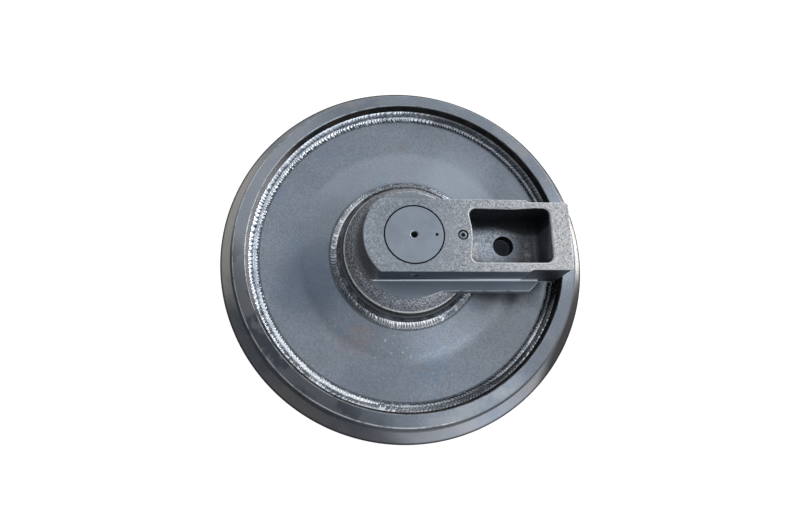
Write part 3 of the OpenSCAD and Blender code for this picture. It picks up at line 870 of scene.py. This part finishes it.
def support_block():
    """The block and its narrower arm above the ledges, with a hollow foot around the block's end."""
    corner = math.degrees(math.asin(BLOCK_HALF / BLOCK_END_R))
    end = arc(BLOCK_END_R, 180 - corner + 2.5, 180 + corner - 2.5, 36)
    point = -BLOCK_END_R * math.cos(math.radians(corner))
    outline = [(ARM_END, -ARM_HALF), (ARM_END, ARM_HALF), (NECK + 5, ARM_HALF), (NECK + 0.5, BLOCK_HALF),
               (point, BLOCK_HALF)]
    outline += end + [(point, -BLOCK_HALF), (NECK + 0.5, -BLOCK_HALF), (NECK + 5, -ARM_HALF)]
    rounds = [5, 5, 12, 3, 2.2] + [0] * len(end) + [2.2, 3, 12]

    def reach(x, y):
        if x > NECK - 2:
            return 0.0, 0.0, 1.0
        side = 1.6 * max(-1, min(1, y / (BLOCK_HALF - 2)))
        if x > point + 1:
            return 0.0, side, 2.4
        return math.sqrt(BLOCK_END_R ** 2 - y * y) - math.sqrt((PAD_R - 1) ** 2 - y * y), side, 40.0

    return footed("support_top_cast", soften(outline, rounds, 5), low=LEDGE_Z - 4, foot=LEDGE_Z,
                  high=FACE_Z, top_round=1.7, reach=reach)


def support_arm():
    """The arm's lower half, a hair inside the block's outline."""
    far, half, near = ARM_END - 0.04, ARM_HALF - 0.04, 50
    outline = [(far, -half), (far, half), (near, half), (near, -half)]
    return slab("arm", soften(outline, 5, 5), ARM_BACK, LEDGE_Z - 1, bottom_round=3.0)


def support_ledges():
    """The plate of the guide ledges, which runs into the round pad on the boss."""
    pad = arc(PAD_R - 10, 94, 266, 40)
    side = [(LEDGE_END, 44), (LEDGE_END, 56), (LEDGE_CORNER, LEDGE_HALF), (44, LEDGE_HALF), (22, 77), (5, 75)]
    rounds = [0, 3, 3, 14, 8, 8]
    other = [(x, -y) for x, y in reversed(side)]
    outline = other[-1:] + side + pad + other[:-1]
    rounds = rounds[:1] + rounds + [0] * len(pad) + rounds[:0:-1]
    return slab("ledges", soften(outline, rounds, 4), LEDGE_Z - LEDGE_T, LEDGE_Z,
                top_round=1.3, bottom_round=1.5)


def support_boss():
    """The round boss around the shaft, with the seat of the seal in its back."""
    core, top = 38, LEDGE_Z - 0.06
    profile = [(core, COLLAR_END), (COLLAR_R, COLLAR_END), (COLLAR_R, SEAL_SEAT_Z),
               (SEAL_SEAT_R, SEAL_SEAT_Z), (SEAL_SEAT_R, BOSS_BACK), (BOSS_BACK_R, BOSS_BACK),
               (BOSS_BACK_R - 0.5, BOSS_BACK + 6), (BOSS_R - 2.0, BOSS_BACK + 6.6), (BOSS_R - 0.2, SHOULDER),
               (90, 101), (PAD_R, top), (core, top)]
    rounds = [0, 0.6, 0.6, 0.6, 1.0, 1.0, 1.0, 1.0, 2.0, 20, 12, 0]
    return turned("boss", soften(profile, rounds, 6), steps=160)


def support_pocket():
    """The cutter of the pocket, outlined at its mouth and narrower towards its floor."""
    outline = [(77, -POCKET_HALF_Y), (193, -POCKET_HALF_Y), (192, 39.8), (172, 40.4), (141, 38.0), (76, 39.0),
               (81, 9), (81, -9)]
    mouth = soften(outline, [9.5, 10, 9, 60, 90, 9.5, 60, 60], 8)
    base = [(POCKET_X + (x - POCKET_X) * POCKET_DRAFT_X, y * POCKET_DRAFT_Y) for x, y in mouth]
    pocket = slab("pocket", base, POCKET_FLOOR, FACE_Z - MOUTH_ROUND + 0.03, bottom_round=8.4, steps=7)
    flare_mouth(pocket)
    return pocket


def flare_mouth(pocket):
    """Widen the top of the pocket's cutter: the draft of its walls, then a rounded mouth."""
    pivot = (POCKET_X * MM, 0, 0)

    def widen(by):
        growth = (1 + by / POCKET_HALF_X, 1 + by / POCKET_HALF_Y, 1)
        bpy.ops.transform.resize(value=growth, center_override=pivot)

    bpy.context.view_layer.objects.active = pocket
    bpy.ops.object.mode_set(mode="EDIT")
    pick_faces(pocket, at_height(max(v.co.z for v in pocket.data.vertices)))
    bpy.ops.transform.resize(value=(1 / POCKET_DRAFT_X, 1 / POCKET_DRAFT_Y, 1), center_override=pivot)
    for up, wide in [*quarter(MOUTH_ROUND, 4), (MOUTH_BEYOND, MOUTH_BEYOND)]:
        bpy.ops.mesh.extrude_region_move(TRANSFORM_OT_translate={"value": (0, 0, up * MM)})
        widen(wide)
    bpy.ops.object.mode_set(mode="OBJECT")


def make_support():
    support = support_block()
    for part in (support_arm, support_ledges, support_boss):
        carve(support, part(), "UNION")
    carve(support, drill("shaft_bore", SHAFT_R + 0.05, low=40, top=FACE_Z, chamfer=1.1,
                         mouth=SHAFT_R + 1.1, steps=160))
    carve(support, support_pocket())
    carve(support, drill("bolt_hole", BOLT_R, low=60, top=POCKET_FLOOR, chamfer=1,
                         mouth=BOLT_R + 1, steps=64, centre=(BOLT_X, 0)))
    carve(support, drill("plug_hole", PLUG_R + 0.1, low=145, top=FACE_Z, chamfer=1.6,
                         mouth=PLUG_R + 1.7, steps=48, centre=(PLUG_X, 0)))
    carve(support, on_pin_line(drill("pin_hole", PIN_R + 0.1, low=10, top=BLOCK_HALF, chamfer=1,
                                     mouth=PIN_R + 1.1, steps=48, flare=1.9)))
    smooth(support)
    return support


def on_pin_line(piece):
    """Lay a turned piece along the lock pin's line, out of the block's lower side wall."""
    pick(piece)
    piece.rotation_euler = (math.pi / 2, 0, 0)
    piece.location = (0, 0, PIN_Z * MM)
    fix_place()
    return piece


# Shaft, plugs and pins

def make_shaft():
    groove = FACE_Z - GROOVE_DROP
    top = [(OIL_BORE_R, FACE_Z - OIL_PLUG_DROP), (OIL_BORE_R, FACE_Z - 1.3), (OIL_BORE_R + 1.5, FACE_Z),
           (SHAFT_R - 0.9, FACE_Z), (SHAFT_R, FACE_Z - 0.9), (SHAFT_R, groove + GROOVE_HALF),
           (GROOVE_R, groove + GROOVE_HALF), (GROOVE_R, groove - GROOVE_HALF),
           (SHAFT_R, groove - GROOVE_HALF)]
    rounds = [0, 0.6, 0.5, 0.5, 0.5, 0, 0, 0, 0]
    path = top + [(r, -z) for r, z in reversed(top)]
    shaft = turned("shaft_bar", soften(path, rounds + rounds[::-1], 3, closed=False), steps=160, capped=True)
    for side in (1, -1):
        low, high = sorted((side * (FACE_Z - INDEX_DEPTH), side * (FACE_Z + 1)))
        carve(shaft, turned("index_hole", [(INDEX_R, low), (INDEX_R, high)], steps=24, capped=True,
                            centre=(INDEX_X, 0)))
    smooth(shaft)
    return shaft


def make_plug(name, radius, top, length, across, centre):
    """A plug with a rounded rim and a hexagon socket."""
    side = radius - 0.02
    rings = soften([(side, top - length), (side, top), (across * 0.2, top)], [0, 0.8, 0], 3, closed=False)
    plug = turned(name, rings, steps=48, capped=True, centre=centre)
    deselect()
    bpy.ops.mesh.primitive_cylinder_add(vertices=6, radius=across / math.sqrt(3) * MM, depth=10 * MM,
                                        location=(centre[0] * MM, centre[1] * MM, top * MM))
    socket = bpy.context.object
    fix_place()
    carve(plug, socket)
    smooth(plug)
    return plug


def make_pin():
    tip, side = BLOCK_HALF - 1.5, PIN_R - 0.03
    rings = [(side, tip - 34), (side, tip - 1), (PIN_R - 1, tip), (3.2, tip - 0.2), (1.4, tip - 1.4)]
    pin = on_pin_line(turned("lock_pin_top_steel", rings, steps=48, capped=True))
    smooth(pin)
    return pin


# Put the object together

paint, disc_finish, weld_finish = wheel_paint(), disc_paint(), weld_paint()
casting, shaft_finish, steel = casting_paint(), shaft_paint(), pin_steel()
hub_finish, bronze, iron, rubber = hub_paint(), bush_bronze(), seal_iron(), seal_rubber()

settle(make_rim(), "rim", "wheel", paint)
settle_pair(make_disc(), "disc", "wheel", disc_finish)
settle_pair(make_rim_weld(), "rim_weld", "wheel", weld_finish)
settle_pair(make_hub_weld(), "hub_weld", "wheel", weld_finish)

settle_pair(make_support(), "support", "frame", casting)
settle(make_shaft(), "shaft", "frame", shaft_finish)
face_plug = make_plug("face_plug_top_steel", PLUG_R, FACE_Z - 0.5,
                      length=14, across=5.5, centre=(PLUG_X, 0))
settle_pair(face_plug, "face_plug", "frame", steel)
oil_plug = make_plug("oil_plug_top_steel", OIL_BORE_R, FACE_Z - OIL_PLUG_DROP,
                     length=12, across=5.0, centre=(0, 0))
settle_pair(oil_plug, "oil_plug", "frame", steel)
settle_pair(make_pin(), "lock_pin", "frame", steel)

inner_finish = {"hub": hub_finish, "bush": bronze, "turning_ring": iron, "fixed_ring": iron,
                "turning_toric": rubber, "fixed_toric": rubber, "o_ring": rubber}
for name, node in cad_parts.items():
    finish = inner_finish.get(name.removesuffix("_top").removesuffix("_bottom"))
    if finish:
        dress(node, finish)


# Stage, light and camera

def make_floor():
    deselect()
    bpy.ops.mesh.primitive_plane_add(size=30, location=(0, 0, (-FACE_Z - 0.3) * MM))
    floor = bpy.context.object
    floor.name = "floor"
    f = Finish("floor_white")
    f.put(Base_Color=tone(120, 120, 120), Roughness=0.9, Emission_Color=(1, 1, 1, 1), Emission_Strength=0.92)
    floor.data.materials.append(f.material)
    floor.visible_diffuse = False
    floor.visible_glossy = False


def make_sky():
    """Soft light from above and from the right, with a darker side where somebody would stand."""
    world = bpy.context.scene.world or bpy.data.worlds.new("studio")
    bpy.context.scene.world = world
    world.use_nodes = True
    s = Nodes(world.node_tree)
    x, y, z = s.axes(s.node("TexCoord", out="Generated"))
    dim = s.ramp(z, 0.50, 0.92, 0.17, 0.52)
    far = s.ramp(z, 0.45, 0.15, 0.0, 0.35) * s.ramp(y * 0.98 - x * 0.2, 0.6, 0.9)
    sky = dim + (1 - dim) * s.ramp(x * 0.72 + y * 0.69, -0.33, -0.18)
    glow = s.ramp(z, 0.50, 0.05, 0.0, 3.0) * s.ramp(x * 0.62 + y * 0.785, 0.60, 0.92)
    front = s.ramp(z, 0.55, 0.25, 0.0, 0.9) * s.ramp(x * 0.3 - y * 0.954, 0.70, 0.92)
    window = s.ramp(x * 0.33 - y * 0.40 + z * 0.855, 0.945, 0.985, 0.0, 0.75)
    above = s.ramp(z, -0.3, 0.1, 0.55, 1.0)
    seen = s.node("LightPath", out="Is Camera Ray")
    lit = (sky - far + glow + front + window) * above
    background = s.tree.nodes["Background"]
    feed(s.tree, background.inputs["Strength"], seen + (1 - seen) * lit)
    feed(s.tree, background.inputs["Color"], s.blend(seen, (0.96, 0.98, 1, 1), (1, 1, 1, 1)))


def soft_light(name, place, size, power, colour):
    """A round soft lamp that looks at the middle of the object."""
    deselect()
    bpy.ops.object.light_add(type="AREA", location=place)
    lamp = bpy.context.object
    lamp.name = name
    lamp.data.shape = "DISK"
    lamp.data.size, lamp.data.energy, lamp.data.color = size, power, colour
    lamp.rotation_euler = (-Vector(place)).to_track_quat("-Z", "Y").to_euler()


def make_camera(place, turn, lens):
    deselect()
    bpy.ops.object.camera_add(location=place, rotation=[math.radians(a) for a in turn])
    camera = bpy.context.object
    camera.data.sensor_width, camera.data.lens = 36, lens
    bpy.context.scene.camera = camera


make_floor()
make_sky()
soft_light("right_light", (2.2, 0.9, 0.25), size=1.2, power=10, colour=(1, 0.99, 0.97))
soft_light("high_right_light", (1.54, 0.56, 1.48), size=0.5, power=8, colour=(1, 0.98, 0.96))
soft_light("front_right_light", (0.95, -0.85, 1.75), size=0.8, power=1.6, colour=(0.98, 0.99, 1))
make_camera(place=(-0.103, -0.247, 0.954), turn=(14.37, -5.62, -1.19), lens=27.585)
bpy.context.scene.view_settings.view_transform = "Standard"
